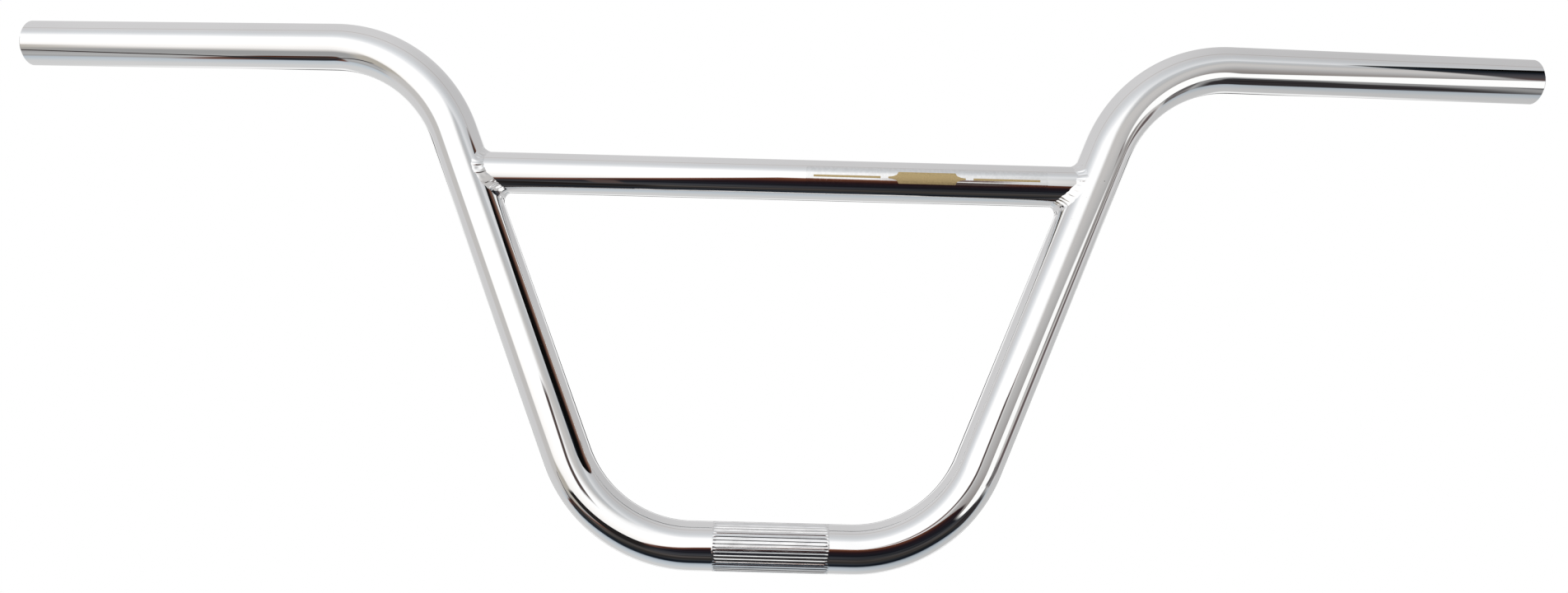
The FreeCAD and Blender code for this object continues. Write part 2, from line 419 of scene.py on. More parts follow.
def span(bm, first, second, material=0, closed=True):
    """Smooth faces between two rows of vertices of the same count."""
    last = len(first) if closed else len(first) - 1
    for i in range(last):
        j = (i + 1) % len(first)
        face = bm.faces.new((first[i], first[j], second[j], second[i]))
        face.smooth = True
        face.material_index = material


def add_row(bm, points):
    return [bm.verts.new(point) for point in points]


def mirrored(points):
    return [Vector((-point.x, point.y, point.z)) for point in points]


def finish_piece(name, bm, materials, nodes, sharp=40):
    """Turns a closed mesh into a piece that rides on the frame in place of CAD nodes.

    Edges that turn by more than the sharp angle, in degrees, are shaded as edges.
    """
    bmesh.ops.recalc_face_normals(bm, faces=bm.faces)
    mesh = bpy.data.meshes.new(name)
    bm.to_mesh(mesh)
    bm.free()
    for material in materials:
        mesh.materials.append(material)
    mesh.set_sharp_from_angle(angle=radians(sharp))
    piece = bpy.data.objects.new(name, mesh)
    bpy.context.scene.collection.objects.link(piece)
    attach(piece, "root")
    if nodes:
        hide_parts(*nodes)
    return piece


# Main tube.


def leg_direction(sizes):
    return Vector((cos(sizes.leg_angle), 0.0, sin(sizes.leg_angle)))


def grip_direction(sizes):
    out, back = cos(sizes.backsweep), sin(sizes.backsweep)
    return Vector((out * cos(sizes.upsweep), back * cos(sizes.upsweep), sin(sizes.upsweep)))


def right_corners(sizes):
    """The lower corner, the upper corner and the end of the right half's centre line."""
    leg, grip = leg_direction(sizes), grip_direction(sizes)
    low = Vector((sizes.leg_spacing / 2, 0.0, 0.0))
    high = low + leg * (sizes.rise / leg.z)
    end = high + grip * ((sizes.overall_width / 2 - high.x) / grip.x)
    return low, high, end


def bend_stations(sizes, rings):
    """(centre, across, up) of each ring of the right half, from the lower bend to the end."""
    low, high, end = right_corners(sizes)
    heading, across, up = Vector((1, 0, 0)), Vector((0, 1, 0)), Vector((0, 0, 1))
    stations = []
    for corner, radius, onward in (
        (low, sizes.lower_bend, leg_direction(sizes)),
        (high, sizes.upper_bend, grip_direction(sizes)),
    ):
        turn = heading.angle(onward)
        axis = heading.cross(onward).normalized()
        start = corner - heading * radius * tan(turn / 2)
        centre = start + axis.cross(heading) * radius
        stations.append((start - heading * HOLDING_RUN, across, up))
        for step in range(rings + 1):
            spin = Quaternion(axis, turn * step / rings)
            stations.append((centre + spin @ (start - centre), spin @ across, spin @ up))
        heading, across, up = onward, spin @ across, spin @ up
        stations.append((stations[-1][0] + heading * HOLDING_RUN, across, up))
    stations.append((end - heading * sizes.end_chamfer, across, up))
    stations.append((end, across, up))
    return stations


def ring_points(station, radii):
    """A ring round a station: the first point is at the top, and each has its own radius."""
    centre, across, up = station
    step = 2 * pi / len(radii)
    return [
        centre + (up * cos(step * i) - across * sin(step * i)) * radius
        for i, radius in enumerate(radii)
    ]


def knurl_radii(sizes, place):
    """Radii round the clamp at a place along it: a groove, its land, the next groove, and so on."""
    inside = sizes.knurl_length / 2 - place
    raised = 0.0 if inside <= 0 else 1.0
    cut = min(max(inside / sizes.knurl_runout, 0.0), 1.0)
    crest = sizes.tube_diameter / 2 + sizes.knurl_rise * raised
    groove = sizes.knurl_depth * cut
    ridge = [crest - groove] + [crest] * (POINTS_PER_RIDGE - 1)
    return ridge * sizes.knurl_count


def knurl_places(sizes):
    """Places along the right half of the clamp where the knurl has a ring."""
    half, runout = sizes.knurl_length / 2, sizes.knurl_runout
    even = ceil((half - runout) / KNURL_RING_SPACING)
    places = [(half - runout) * i / even for i in range(even + 1)]
    return places + [half - runout / 2, half - runout / 6, half]


def build_main_tube(sizes, finish):
    """The bent tube in one closed skin: outside, both chamfered lips and the bore."""
    points = sizes.knurl_count * POINTS_PER_RIDGE
    outside = [sizes.tube_diameter / 2] * points
    bore = [sizes.bore_diameter / 2] * points
    lip = [sizes.tube_diameter / 2 - sizes.end_chamfer] * points
    level = (Vector((0, 1, 0)), Vector((0, 0, 1)))

    right, kinds = [], []
    for place in knurl_places(sizes):
        right.append(ring_points((Vector((place, 0, 0)), *level), knurl_radii(sizes, place)))
        kinds.append("knurl")
    stations = bend_stations(sizes, RINGS_PER_BEND)
    beside = (Vector((sizes.knurl_length / 2 + KNURL_STEP, 0, 0)), *level)
    for station in [beside] + stations[:-1]:
        right.append(ring_points(station, outside))
        kinds.append("plate")
    right.append(ring_points(stations[-1], lip))
    kinds.append("plate")

    inner_stations = bend_stations(sizes, BORE_RINGS_PER_BEND)
    inner = [ring_points(station, bore) for station in inner_stations[:-2] + inner_stations[-1:]]

    rings = [mirrored(ring) for ring in reversed(right[1:])] + right
    ring_kinds = list(reversed(kinds[1:])) + kinds
    rings += list(reversed(inner)) + [mirrored(ring) for ring in inner]
    ring_kinds += ["bore"] * (2 * len(inner))

    bm = bmesh.new()
    rows = [add_row(bm, ring) for ring in rings]
    for i, row in enumerate(rows):
        j = (i + 1) % len(rows)
        pair = {ring_kinds[i], ring_kinds[j]}
        material = 1 if pair == {"knurl"} else 2 if pair == {"bore"} else 0
        span(bm, row, rows[j], material)
    materials = [
        chrome_finish("chromed_tube", finish.chrome, finish.chrome_roughness, grain=0.008),
        knurl_finish("knurled_plate", finish.knurl),
        bore_finish("bare_bore", finish.bore),
    ]
    return finish_piece("bent_tube", bm, materials, ["main_tube"], sharp=33)


# Crossbar.


def crossbar_crossing(sizes):
    """Where the crossbar's axis meets the right leg's axis."""
    leg = leg_direction(sizes)
    _, high, _ = right_corners(sizes)
    turn = leg.angle(grip_direction(sizes))
    bend_start = high - leg * sizes.upper_bend * tan(turn / 2)
    height = bend_start.z - sizes.crossbar_drop
    return Vector((sizes.leg_spacing / 2 + height / tan(sizes.leg_angle), 0.0, height))


def cope_point(sizes, radius, around):
    """Point on the crossbar's right end, cut to sit on the leg; around is from the front."""
    crossing = crossbar_crossing(sizes)
    forward, lift = -radius * cos(around), radius * sin(around)
    depth = sqrt((sizes.tube_diameter / 2) ** 2 - forward**2)
    reach = (lift * cos(sizes.leg_angle) - depth) / sin(sizes.leg_angle)
    return crossing + Vector((reach, forward, lift))


def build_crossbar(sizes, finish):
    """The crossbar: an open tube whose two ends are cut to the round of the legs."""
    turns = [2 * pi * i / CROSSBAR_POINTS for i in range(CROSSBAR_POINTS)]
    outer = sizes.crossbar_diameter / 2
    outside = [cope_point(sizes, outer, turn) for turn in turns]
    inside = [cope_point(sizes, outer - sizes.crossbar_wall, turn) for turn in turns]
    bm = bmesh.new()
    rows = [add_row(bm, ring) for ring in (mirrored(outside), outside, inside, mirrored(inside))]
    for i, row in enumerate(rows):
        span(bm, row, rows[(i + 1) % 4], 1 if i == 2 else 0)
    materials = [
        chrome_finish("chromed_crossbar", finish.chrome, finish.chrome_roughness, grain=0.008),
        bore_finish("bare_crossbar_bore", finish.bore),
    ]
    return finish_piece("cross_tube", bm, materials, ["crossbar"])


# Weld beads.


def leg_point(sizes, turn, along):
    """Point on the right leg's skin: turn is from its inner side, along is up the leg."""
    leg = leg_direction(sizes)
    inward = Vector((-leg.z, 0.0, leg.x))
    skin = inward * cos(turn) + Vector((0, 1, 0)) * sin(turn)
    return crossbar_crossing(sizes) + leg * along + skin * sizes.tube_diameter / 2


def unrolled(sizes, point):
    """Where a point on the leg's skin lies when the skin is rolled out flat."""
    leg = leg_direction(sizes)
    inward = Vector((-leg.z, 0.0, leg.x))
    from_crossing = point - crossbar_crossing(sizes)
    turn = atan2(from_crossing.y, from_crossing.dot(inward))
    return Vector((turn * sizes.tube_diameter / 2, from_crossing.dot(leg)))


def bead_swell(turn, seed):
    """How much a bead swells at a place round the crossbar: a slow wave and a finer one."""
    slow = noise.noise(Vector((cos(turn) * 4, sin(turn) * 4, seed)))
    fine = noise.noise(Vector((cos(turn) * 11, sin(turn) * 11, seed + 5)))
    return slow + 0.6 * fine


def bead_width(width, turn, swell, narrower, wider):
    """A bead's width at a place: by these shares narrower above the crossbar and wider below."""
    above, below = max(sin(turn), 0.0) ** 2, max(-sin(turn), 0.0) ** 2
    return width * (1 + 0.25 * swell - narrower * above + wider * below)


def bead_sections(sizes, seed):
    """Cross-sections of the right bead, each from the crossbar over the crown to the leg."""
    count = BEAD_STATIONS
    turns = [2 * pi * i / count for i in range(count)]
    seam = [cope_point(sizes, sizes.crossbar_diameter / 2, turn) for turn in turns]
    flat = [unrolled(sizes, point) for point in seam]
    runs = [(seam[(i + 1) % count] - seam[i]).length for i in range(count)]
    ripples = round(sum(runs) / sizes.ripple_pitch)
    sections, travelled = [], 0.0
    for i, turn in enumerate(turns):
        phase = ripples * travelled / sum(runs)
        travelled += runs[i]
        swell = bead_swell(turn, seed)
        on_bar = bead_width(sizes.bead_on_crossbar, turn, swell, narrower=0.35, wider=0.30)
        on_leg = bead_width(sizes.bead_on_leg, turn, swell, narrower=0.20, wider=1.00)
        edge = flat[(i + 1) % count] - flat[i - 1]
        outward = Vector((edge.y, -edge.x)).normalized()
        if outward.dot(flat[i]) < 0:
            outward = -outward
        foot = flat[i] + outward * on_leg
        toe_leg = leg_point(sizes, foot.x / (sizes.tube_diameter / 2), foot.y)
        toe_bar = seam[i] - Vector((on_bar, 0, 0))
        middle = (toe_bar + toe_leg) / 2
        crown = (middle - seam[i]).normalized()
        # Above and below the crossbar the bead is hollow, with flatter ripples.
        corner = sin(turn) ** 2
        bend = middle.lerp(seam[i], sizes.bead_hollow * (1.35 * corner - 0.35))
        height = sizes.ripple_height * (1 - 0.80 * corner) * (0.8 + 0.7 * swell)
        section = []
        for k in range(BEAD_POINTS + 1):
            v = k / BEAD_POINTS
            scale = abs(sin(pi * (phase + 0.7 * swell - 0.5 * (2 * v - 1) ** 2)))
            lift = 4 * v * (1 - v) * height * (scale - 0.4)
            arc = toe_bar.lerp(bend, v).lerp(bend.lerp(toe_leg, v), v)
            section.append(arc + crown * lift)
        section.append(seam[i])
        sections.append(section)
    return sections


def build_weld_beads(sizes, finish):
    """Two rippled beads, one round each end of the crossbar."""
    material = chrome_finish("chromed_bead", finish.chrome, finish.bead_roughness, grain=0.12)
    beads = []
    for side, node, seed in (("right", "right_weld", 2.3), ("left", "left_weld", 7.9)):
        sections = bead_sections(sizes, seed)
        if side == "left":
            sections = [mirrored(section) for section in sections]
        bm = bmesh.new()
        rows = [add_row(bm, section) for section in sections]
        for i, row in enumerate(rows):
            span(bm, row, rows[(i + 1) % len(rows)])
        name = side + "_bead"
        beads.append(finish_piece(name, bm, [material], [node], sharp=50))
    return beads


# Label film.


def on_crossbar(sizes, along, around, lift):
    """Point over the front of the crossbar: around is the distance up from the front line."""
    radius = sizes.crossbar_diameter / 2
    turn = around / radius
    height = crossbar_crossing(sizes).z
    return Vector(
        (along, -(radius + lift) * cos(turn), height + (radius + lift) * sin(turn))
    )


def patch(bm, sizes, outline, lifts, rows=FILM_ROWS):
    """A closed thin patch on the crossbar, from (along, lowest, highest) columns."""
    skins = []
    for lift in lifts:
        skins.append(
            [
                add_row(
                    bm,
                    [
                        on_crossbar(sizes, along, low + (high - low) * k / rows, lift)
                        for k in range(rows + 1)
                    ],
                )
                for along, low, high in outline
            ]
        )
    under, over = skins
    for i in range(len(outline) - 1):
        span(bm, over[i], over[i + 1], closed=False)
        span(bm, under[i + 1], under[i], closed=False)
    for skin_column, other_column in ((under[0], over[0]), (over[-1], under[-1])):
        span(bm, skin_column, other_column, closed=False)
    for k in (0, rows):
        edge_under = [column[k] for column in under]
        edge_over = [column[k] for column in over]
        span(bm, edge_over, edge_under, closed=False)


def rounded_outline(start, end, half, corner, steps=6):
    """Columns of a strip with rounded corners."""
    columns = []
    for i in range(steps + 1):
        turn = pi / 2 * i / steps
        columns.append((corner * (1 - cos(turn)), half - corner + corner * sin(turn)))
    left = [(start + inset, -reach, reach) for inset, reach in columns]
    right = [(end - inset, -reach, reach) for inset, reach in reversed(columns)]
    return left + right


def build_label(sizes, finish):
    """The film on the crossbar's front and its gold print: a pointed plate between two lines."""
    half = sizes.film_wrap / 2 * sizes.crossbar_diameter / 2
    end = sizes.film_start + sizes.film_length
    bm = bmesh.new()
    outline = rounded_outline(sizes.film_start, end, half, sizes.film_corner)
    patch(bm, sizes, outline, (0.0, sizes.film_thickness))
    foil = film_finish("silver_film", finish.film)
    film = finish_piece("label_foil", bm, [foil], ["label_film"])

    bm = bmesh.new()
    # The ink starts a little inside the film.
    lifts = (sizes.film_thickness * 0.9, sizes.film_thickness + sizes.print_thickness)
    middle, reach = (sizes.film_start + end) / 2, sizes.plate_length / 2
    high, tip = sizes.plate_height / 2, sizes.line_width / 4
    shoulder = reach - sizes.plate_point
    plate = [(-reach, tip), (-shoulder, high), (shoulder, high), (reach, tip)]
    patch(bm, sizes, [(middle + along, -up, up) for along, up in plate], lifts)
    margin = sizes.print_margin
    for left, right in (
        (sizes.film_start + margin, middle - reach - margin),
        (middle + reach + margin, end - margin),
    ):
        columns = [(along, -sizes.line_width / 2, sizes.line_width / 2) for along in (left, right)]
        patch(bm, sizes, columns, lifts, rows=2)
    ink = ink_finish("gold_ink", finish.ink)
    return film, finish_piece("label_print", bm, [ink], [])


# Stage.

# Strips of dark tape that hang upright before the lower bends, in metres.
STRIPS = {
    "left_strip": {"before": -0.100, "left": -0.1085, "right": -0.0860, "low": 0.013, "high": 0.094},
    "right_strip": {"before": -0.400, "left": 0.1060, "right": 0.1700, "low": 0.022, "high": 0.140},
}


def place_camera(scene, studio):
    """The camera at the photograph's viewing angle."""
    camera = bpy.data.cameras.new("camera")
    camera.sensor_fit = "HORIZONTAL"
    camera.sensor_width = 36.0
    camera.lens = studio.lens
    camera.clip_start = 0.01
    ahead = Vector(
        (
            sin(studio.pan) * cos(studio.tilt),
            cos(studio.pan) * cos(studio.tilt),
            sin(studio.tilt),
        )
    )
    level = Vector((cos(studio.pan), -sin(studio.pan), 0.0))
    above = level.cross(ahead)
    right = level * cos(studio.roll) + above * sin(studio.roll)
    up = above * cos(studio.roll) - level * sin(studio.roll)
    turn = Matrix((right, up, -ahead)).transposed().to_4x4()
    holder = bpy.data.objects.new("camera", camera)
    holder.matrix_world = Matrix.Translation(studio.camera_place) @ turn
    scene.collection.objects.link(holder)
    scene.camera = holder


def lay_floor(scene, studio):
    """A round pale floor that takes the handlebar's shadow."""
    bm = bmesh.new()
    bmesh.ops.create_circle(bm, cap_ends=True, radius=studio.floor_radius, segments=96)
    mesh = bpy.data.meshes.new("floor")
    bm.to_mesh(mesh)
    bm.free()
    mesh.materials.append(floor_finish("pale_floor", studio.floor))
    floor = bpy.data.objects.new("floor", mesh)
    floor.location.z = -studio.floor_drop
    floor.visible_glossy = False
    scene.collection.objects.link(floor)


def hang_lamps(scene):
    """Two broad soft lamps, overhead and from the front, which the plate doesn't mirror."""
    lit_point = Vector((0.0, 0.0, 0.1))
    for name, place, size, power in (
        ("overhead_lamp", (0.3, -0.4, 1.8), 1.6, 14.0),
        ("front_lamp", (-0.9, -1.6, 1.2), 1.4, 10.0),
    ):
        lamp = bpy.data.lights.new(name, "AREA")
        lamp.shape = "DISK"
        lamp.size = size
        lamp.energy = power
        holder = bpy.data.objects.new(name, lamp)
        holder.location = place
        aim = lit_point - Vector(place)
        holder.rotation_euler = aim.to_track_quat("-Z", "Y").to_euler()
        holder.visible_glossy = False
        scene.collection.objects.link(holder)


# Studio that the plate mirrors. Its places are directions, in degrees.


def studio_walls(tree):
    """All that stands round the bar at a distance, by direction."""
    direction = add_node(tree, "ShaderNodeTexCoord").outputs["Generated"]
    split = add_node(tree, "ShaderNodeSeparateXYZ", {"Vector": direction})
    x, y, z = split.outputs["X"], split.outputs["Y"], split.outputs["Z"]
    forward = calculate(tree, "MULTIPLY", y, -1.0)
    # Angle about the bar's length: 0 is the front, 90 is overhead, -90 is underneath.
    turn = calculate(tree, "DEGREES", calculate(tree, "ARCTAN2", z, forward))
    # The same angle counted from behind.
    rear = calculate(tree, "DEGREES", calculate(tree, "ARCTAN2", z, y))
    # Angle towards the rider's right hand.
    side = calculate(tree, "DEGREES", calculate(tree, "ARCSINE", x))
    front = soft_band(tree, turn, -36, 37, 5)

    walls = room_walls(tree, turn, side, front)
    walls = shade_right_front(tree, turn, side, front, walls)
    walls = cut_window(tree, turn, side, walls)
    walls = hang_high_flag(tree, turn, side, walls)
    return furnish_rear(tree, turn, rear, side, walls)


def room_walls(tree, turn, side, front):
    """A white front, with pale grey above, below, behind and on both far sides."""
    walls = add_value_ramp(
        tree,
        turn,
        (-180, 180),
        [
            (-180, grey(0.66)),
            (-128, grey(0.64)),
            (-112, (0.56, 0.60, 0.63)),
            (-100, (0.50, 0.55, 0.60)),
            (-92, grey(0.36)),
            (-82, grey(0.46)),
            (-66, grey(0.34)),
            (-48, grey(0.34)),
            (-40, (0.62, 0.60, 0.58)),
            (-30, (0.96, 0.94, 0.92)),
            (-14, (1.08, 1.06, 1.04)),
            (-4, grey(1.09)),
            (32, grey(1.09)),
            (40, (0.85, 0.86, 0.88)),
            (50, (0.69, 0.71, 0.73)),
            (60, (0.64, 0.645, 0.66)),
            (73, (0.65, 0.645, 0.65)),
            (75, (0.46, 0.42, 0.40)),
            (77, (0.65, 0.645, 0.65)),
            (150, (0.65, 0.645, 0.65)),
            (156, grey(1.0)),
            (174, grey(1.0)),
            (180, grey(0.66)),
        ],
    )
    # The grey of the room is a little darker towards the right.
    darker = remap(tree, side, (-12, 30), (0.0, 0.16))
    off_front = calculate(tree, "SUBTRACT", 1.0, front)
    walls = mix_colours(tree, overlap(tree, darker, off_front), walls, (0.0, 0.0, 0.0, 1.0))
    # Low on the left it is brown, and both far sides are grey, darker at the front.
    low_left = overlap(tree, fade_out(tree, side, -50, -44), soft_band(tree, turn, -62, -27, 5))
    walls = mix_colours(tree, low_left, walls, (0.46, 0.43, 0.38, 1.0))
    centre = soft_band(tree, side, -61, 68, 3)
    fore = soft_band(tree, turn, -95, 30, 25)
    far = mix_colours(tree, fore, (0.64, 0.635, 0.64, 1.0), (0.56, 0.545, 0.53, 1.0))
    return mix_colours(tree, centre, far, walls)


def shade_right_front(tree, turn, side, front, walls):
    """Grey over the right of the front, darker lower down, with a dark corner and a dark edge."""
    right_front = add_value_ramp(
        tree,
        turn,
        (-36, 36),
        [
            (-36, grey(0.23)),
            (-28, (0.26, 0.24, 0.23)),
            (-19, (0.31, 0.29, 0.28)),
            (-10, (0.38, 0.365, 0.36)),
            (0, (0.48, 0.475, 0.47)),
            (9, (0.57, 0.555, 0.545)),
            (18, (0.58, 0.565, 0.55)),
            (24, (0.50, 0.50, 0.50)),
            (36, (0.53, 0.55, 0.57)),
        ],
    )
    beyond = add_value_ramp(
        tree, side, (0, 20), [(1, grey(0.0)), (6, grey(0.22)), (11, grey(0.75)), (16, grey(1.0))]
    )
    walls = mix_colours(tree, overlap(tree, front, beyond), walls, right_front)
    # The corner is on the far right, and the thin edge stands beside the white front.
    corner = overlap(tree, fade_in(tree, side, 69, 74), soft_band(tree, turn, -128, -68, 12))
    walls = mix_colours(tree, corner, walls, (0.13, 0.10, 0.10, 1.0))
    edge = overlap(tree, soft_band(tree, side, 4, 8.2, 0.8), soft_band(tree, turn, -1, 8.8, 1))
    return mix_colours(tree, edge, walls, (0.20, 0.14, 0.13, 1.0))


def cut_window(tree, turn, side, walls):
    """A tall white window that leans along the right."""
    leaning = calculate(tree, "SUBTRACT", side, calculate(tree, "MULTIPLY", turn, 0.44))
    window = overlap(
        tree,
        soft_band(tree, side, 30, 68, 2),
        soft_band(tree, turn, -56, -6, 2.5),
        fade_in(tree, leaning, 53.4, 54.8),
    )
    return mix_colours(tree, window, walls, (1.05, 1.05, 1.04, 1.0))


def hang_high_flag(tree, turn, side, walls):
    """A black flag high on the right, brown along its top, with a pointed left end."""
    cloth = add_value_ramp(
        tree,
        turn,
        (25, 108),
        [
            (25, (0.038, 0.039, 0.046)),
            (33, (0.012, 0.018, 0.026)),
            (39, grey(0.003)),
            (56, grey(0.004)),
            (63, (0.024, 0.011, 0.009)),
            (69, (0.10, 0.05, 0.036)),
            (77, (0.18, 0.095, 0.068)),
            (90, (0.36, 0.27, 0.22)),
            (108, (0.60, 0.57, 0.54)),
        ],
    )
    low_slant = calculate(tree, "MULTIPLY", calculate(tree, "SUBTRACT", 37, turn), 0.27)
    high_slant = calculate(tree, "MULTIPLY", calculate(tree, "SUBTRACT", turn, 40), 0.28)
    inside = calculate(tree, "SUBTRACT", side, either(tree, low_slant, high_slant))
    flag = overlap(
        tree,
        fade_in(tree, inside, 38.1, 39.1),
        fade_out(tree, side, 61.5, 64.5),
        soft_band(tree, turn, 29, 106, 3),
    )
    return mix_colours(tree, flag, walls, cloth)


def furnish_rear(tree, turn, rear, side, walls):
    """A white floor behind the bar, with a dark doorway and dark flags behind and on the left."""
    rear_floor = overlap(tree, soft_band(tree, rear, -27, -6, 3), soft_band(tree, side, -24, 24, 3))
    walls = mix_colours(tree, rear_floor, walls, (0.92, 0.92, 0.92, 1.0))
    doorway = overlap(tree, soft_band(tree, rear, -8, 17, 1), soft_band(tree, side, -18, 18, 1.5))
    either_side = calculate(tree, "ABSOLUTE", side)
    rear_flags = overlap(
        tree, soft_band(tree, rear, 4, 30, 1), soft_band(tree, either_side, 38, 50, 1)
    )
    # Two more flags hang high on the far left, one before and one behind.
    from_top = calculate(tree, "ABSOLUTE", calculate(tree, "SUBTRACT", turn, 72))
    left_flags = overlap(
        tree, soft_band(tree, from_top, 36, 62, 2), fade_out(tree, side, -68.5, -67)
    )
    dark = either(tree, doorway, rear_flags, left_flags)
    return mix_colours(tree, dark, walls, (0.03, 0.028, 0.03, 1.0))


# Cards close to the bar, which only the plate mirrors. Their places are in metres.


def hang_card(scene, name, corners, material):
    """A flat card of four corners."""
    mesh = bpy.data.meshes.new(name)
    mesh.from_pydata(corners, [], [(0, 1, 2, 3)])
    mesh.materials.append(material)
    card = bpy.data.objects.new(name, mesh)
    card.visible_camera = False
    card.visible_diffuse = False
    card.visible_shadow = False
    card.visible_transmission = False
    scene.collection.objects.link(card)


def new_card_material(name):
    """A material with an empty tree, and the x, y and z of the point that is shaded."""
    material = bpy.data.materials.new(name)
    material.use_nodes = True
    tree = material.node_tree
    tree.nodes.clear()
    place = add_node(tree, "ShaderNodeNewGeometry").outputs["Position"]
    split = add_node(tree, "ShaderNodeSeparateXYZ", {"Vector": place})
    return material, tree, place, split.outputs["X"], split.outputs["Y"], split.outputs["Z"]


def show_card(tree, cover, shade, strength=1.0):
    """Gives a card its own shade where it is covered, and nothing elsewhere."""
    glow = add_node(tree, "ShaderNodeEmission", {"Color": shade, "Strength": strength})
    clear = add_node(tree, "ShaderNodeBsdfTransparent")
    both = add_node(
        tree,
        "ShaderNodeMixShader",
        {0: cover, 1: clear.outputs["BSDF"], 2: glow.outputs["Emission"]},
    )
    output = add_node(tree, "ShaderNodeOutputMaterial")
    tree.links.new(both.outputs["Shader"], output.inputs["Surface"])


def hang_side_flag(scene):
    """A dark flag close to the end of the right grip."""
    beside, near, far, low, high = 0.90, -0.75, 0.20, 0.12, 0.65
    corners = [(beside, near, low), (beside, far, low), (beside, far, high), (beside, near, high)]
    hang_card(scene, "side_flag", corners, side_flag_finish("side_flag"))


def side_flag_finish(name):
    """Dark cloth with a slanted near edge."""
    bottom, top, slant = 0.175, 0.575, 0.37
    material, tree, _, _, y, z = new_card_material(name)
    lean = calculate(tree, "ADD", y, calculate(tree, "MULTIPLY", z, slant))
    cover = overlap(
        tree, fade_in(tree, lean, -0.41, -0.375), soft_band(tree, z, bottom, top, 0.02)
    )
    shade = add_ramp(
        tree,
        remap(tree, z, (0.17, 0.52), (0.0, 1.0), "LINEAR"),
        [
            (0.0, (0.10, 0.06, 0.06)),
            (0.35, (0.070, 0.064, 0.066)),
            (0.6, (0.056, 0.054, 0.062)),
            (0.85, (0.036, 0.037, 0.044)),
            (1.0, (0.012, 0.015, 0.02)),
        ],
    )
    show_card(tree, cover, shade)
    return material


def hang_strips(scene):
    """Thin upright strips of dark tape, one before each lower bend."""
    for name, strip in STRIPS.items():
        before, left, right = strip["before"], strip["left"], strip["right"]
        low, high = strip["low"], strip["high"]
        corners = [
            (left, before, low),
            (right, before, low),
            (right, before, high),
            (left, before, high),
        ]
        hang_card(scene, name, corners, strip_finish(name, left, right, low, high))


def strip_finish(name, left, right, low, high):
    """Dark brown tape with soft edges."""
    material, tree, _, x, _, z = new_card_material(name)
    soft_side, soft_end = (right - left) * 0.12, (high - low) * 0.08
    cover = overlap(
        tree,
        soft_band(tree, x, left + soft_side, right - soft_side, soft_side),
        soft_band(tree, z, low + soft_end, high - soft_end, soft_end),
    )
    show_card(tree, cover, (0.085, 0.062, 0.058, 1.0))
    return material


def lay_tape(scene):
    """A dark tape that lies low before the left lower bend."""
    height, left, right, near, far = -0.060, -0.29, -0.05, -0.18, -0.03
    corners = [(left, near, height), (right, near, height), (right, far, height), (left, far, height)]
    hang_card(scene, "low_tape", corners, tape_finish("low_tape"))


def tape_finish(name):
    """Black tape with soft edges, turned a little to the left."""
    left_end, right_end, near_edge, far_edge, slant = -0.245, -0.080, -0.111, -0.046, 0.17
    material, tree, _, x, y, _ = new_card_material(name)
    across = calculate(tree, "SUBTRACT", y, calculate(tree, "MULTIPLY", x, slant))
    cover = overlap(
        tree,
        soft_band(tree, across, near_edge, far_edge, 0.004),
        soft_band(tree, x, left_end, right_end, 0.012),
    )
    show_card(tree, cover, (0.016, 0.014, 0.014, 1.0))
    return material


def lay_mat(scene, studio):
    """A dark mat under and before the bar."""
    half, near, far, drop = 1.7, -60.0, 0.2, studio.mat_drop
    corners = [(-half, near, -drop), (half, near, -drop), (half, far, -drop), (-half, far, -drop)]
    hang_card(scene, "dark_mat", corners, mat_finish("dark_mat", drop))


def mat_finish(name, drop):
    """Black cloth with a brown front, a blue cast under the bar and dark ends left and right."""
    material, tree, place, x, y, _ = new_card_material(name)
    # How steeply the clamp looks down on a point before it.
    slope = calculate(tree, "DIVIDE", -drop, calculate(tree, "MINIMUM", y, -0.02))
    steep = calculate(tree, "MINIMUM", slope, 2.0)
    from_left = calculate(tree, "ADD", x, calculate(tree, "MULTIPLY", steep, 0.30))
    outer = remap(tree, calculate(tree, "ABSOLUTE", x), (0.3, 0.6), (0.0, 0.08))
    behind = calculate(tree, "SUBTRACT", y, outer)

    dark_ends = either(tree, mat_line(tree, x, y), mat_under_grip(tree, x, y))
    far_right = overlap(
        tree, soft_band(tree, x, 1.05, 1.55, 0.04), soft_band(tree, y, -0.38, 0.09, 0.05)
    )
    cover = either(tree, mat_cover(tree, x, slope, from_left, behind), dark_ends, far_right)
    cloth = mat_cloth(tree, slope, from_left, behind)
    cloth = mix_colours(tree, dark_ends, cloth, (0.030, 0.027, 0.029, 1.0))
    cloth = mix_colours(tree, far_right, cloth, (0.16, 0.15, 0.15, 1.0))
    streaks = add_node(
        tree, "ShaderNodeMapping", {"Vector": place, "Scale": (1.0, 5.0, 1.0)}
    ).outputs["Vector"]
    folds = remap(tree, add_noise(tree, streaks, scale=2.2, detail=3.0), (0.3, 0.7), (0.5, 1.7))
    show_card(tree, cover, cloth, folds)
    return material


def mat_cover(tree, x, slope, from_left, behind):
    """The mat's outline: slanted on the left, with a bite out of its right edge."""
    bite = soft_band(tree, slope, 0.45, 1.15, 0.15)
    right_edge = remap(tree, bite, (0.0, 1.0), (0.76, 0.56), "LINEAR")
    from_right = calculate(tree, "SUBTRACT", right_edge, x)
    return overlap(
        tree,
        overlap(
            tree, fade_in(tree, from_left, -0.125, -0.075), fade_in(tree, from_right, -0.06, 0.03)
        ),
        overlap(tree, fade_in(tree, slope, 0.004, 0.018), fade_out(tree, behind, -0.02, 0.05)),
    )


